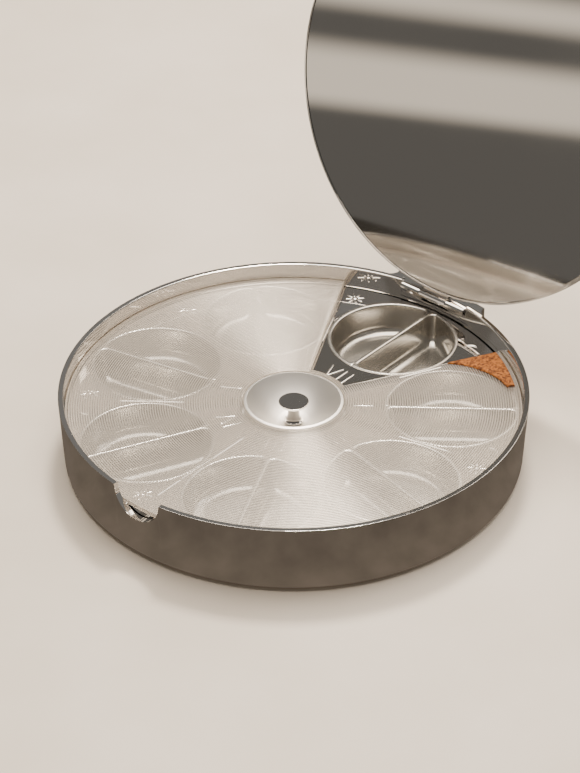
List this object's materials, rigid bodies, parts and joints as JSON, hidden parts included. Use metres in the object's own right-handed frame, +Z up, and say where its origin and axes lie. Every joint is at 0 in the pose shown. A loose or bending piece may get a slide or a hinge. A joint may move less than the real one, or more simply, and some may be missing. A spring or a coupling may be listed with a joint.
{
  "type": "rotary seven-day organiser",
  "caption": "Round polished case with a hinged mirror lid; a central knob turns a tray of split pockets past the one open window of a fixed frosted cover.",
  "frame": {"origin": "centre of the base pad's underside, on the surface it stands on", "axes": "+Z up along the tray's axis; +Y from the axis towards the lid hinge; +X along the hinge pin, to the right when the notch faces the viewer"},
  "size_m": [0.172, 0.2122, 0.1863],
  "materials": {
    "polished_steel": "mirror polished",
    "drawn_steel": "deep drawn, lightly polished",
    "satin_steel": "satin",
    "mirror": "polished mirror",
    "frosted_polymer": "frosted, with fine concentric grooves",
    "cork": "granular",
    "acetal": "moulded",
    "silicone_rubber": "matt"
  },
  "bodies": {
    "case": {"base_pad": "silicone_rubber", "case_body": "polished_steel", "hinge_block": "polished_steel", "hinge_block_screw_1": "satin_steel", "hinge_block_screw_2": "satin_steel", "hinge_pin": "polished_steel", "window_cover": "frosted_polymer", "centre_dish": "satin_steel", "cork_patch": "cork", "spindle_bush": "acetal", "index_spring": "polished_steel", "spring_screw": "satin_steel"},
    "tray": {"tray_plate": "polished_steel", "pocket_cup_1": "drawn_steel", "pocket_cup_2": "drawn_steel", "pocket_cup_3": "drawn_steel", "pocket_cup_4": "drawn_steel", "pocket_cup_5": "drawn_steel", "pocket_cup_6": "drawn_steel", "pocket_cup_7": "drawn_steel", "tray_hub": "satin_steel", "hub_screw_1": "satin_steel", "hub_screw_2": "satin_steel", "hub_screw_3": "satin_steel", "spindle": "satin_steel", "knob": "polished_steel", "index_wheel": "acetal", "thrust_washer": "acetal", "retaining_clip": "polished_steel"},
    "lid": {"lid_shell": "polished_steel", "lid_mirror": "mirror", "lid_arm": "polished_steel"}
  },
  "joints": [
    {"name": "lid_hinge", "type": "hinge", "parent": "case", "child": "lid", "pos_m": [0, 0.0829, 0.0251], "axis": [1, 0, 0], "range_deg": [0, 104.5]},
    {"name": "tray_spin", "type": "hinge", "parent": "case", "child": "tray", "pos_m": [0, 0, 0], "axis": [0, 0, 1], "continuous": true}
  ]
}
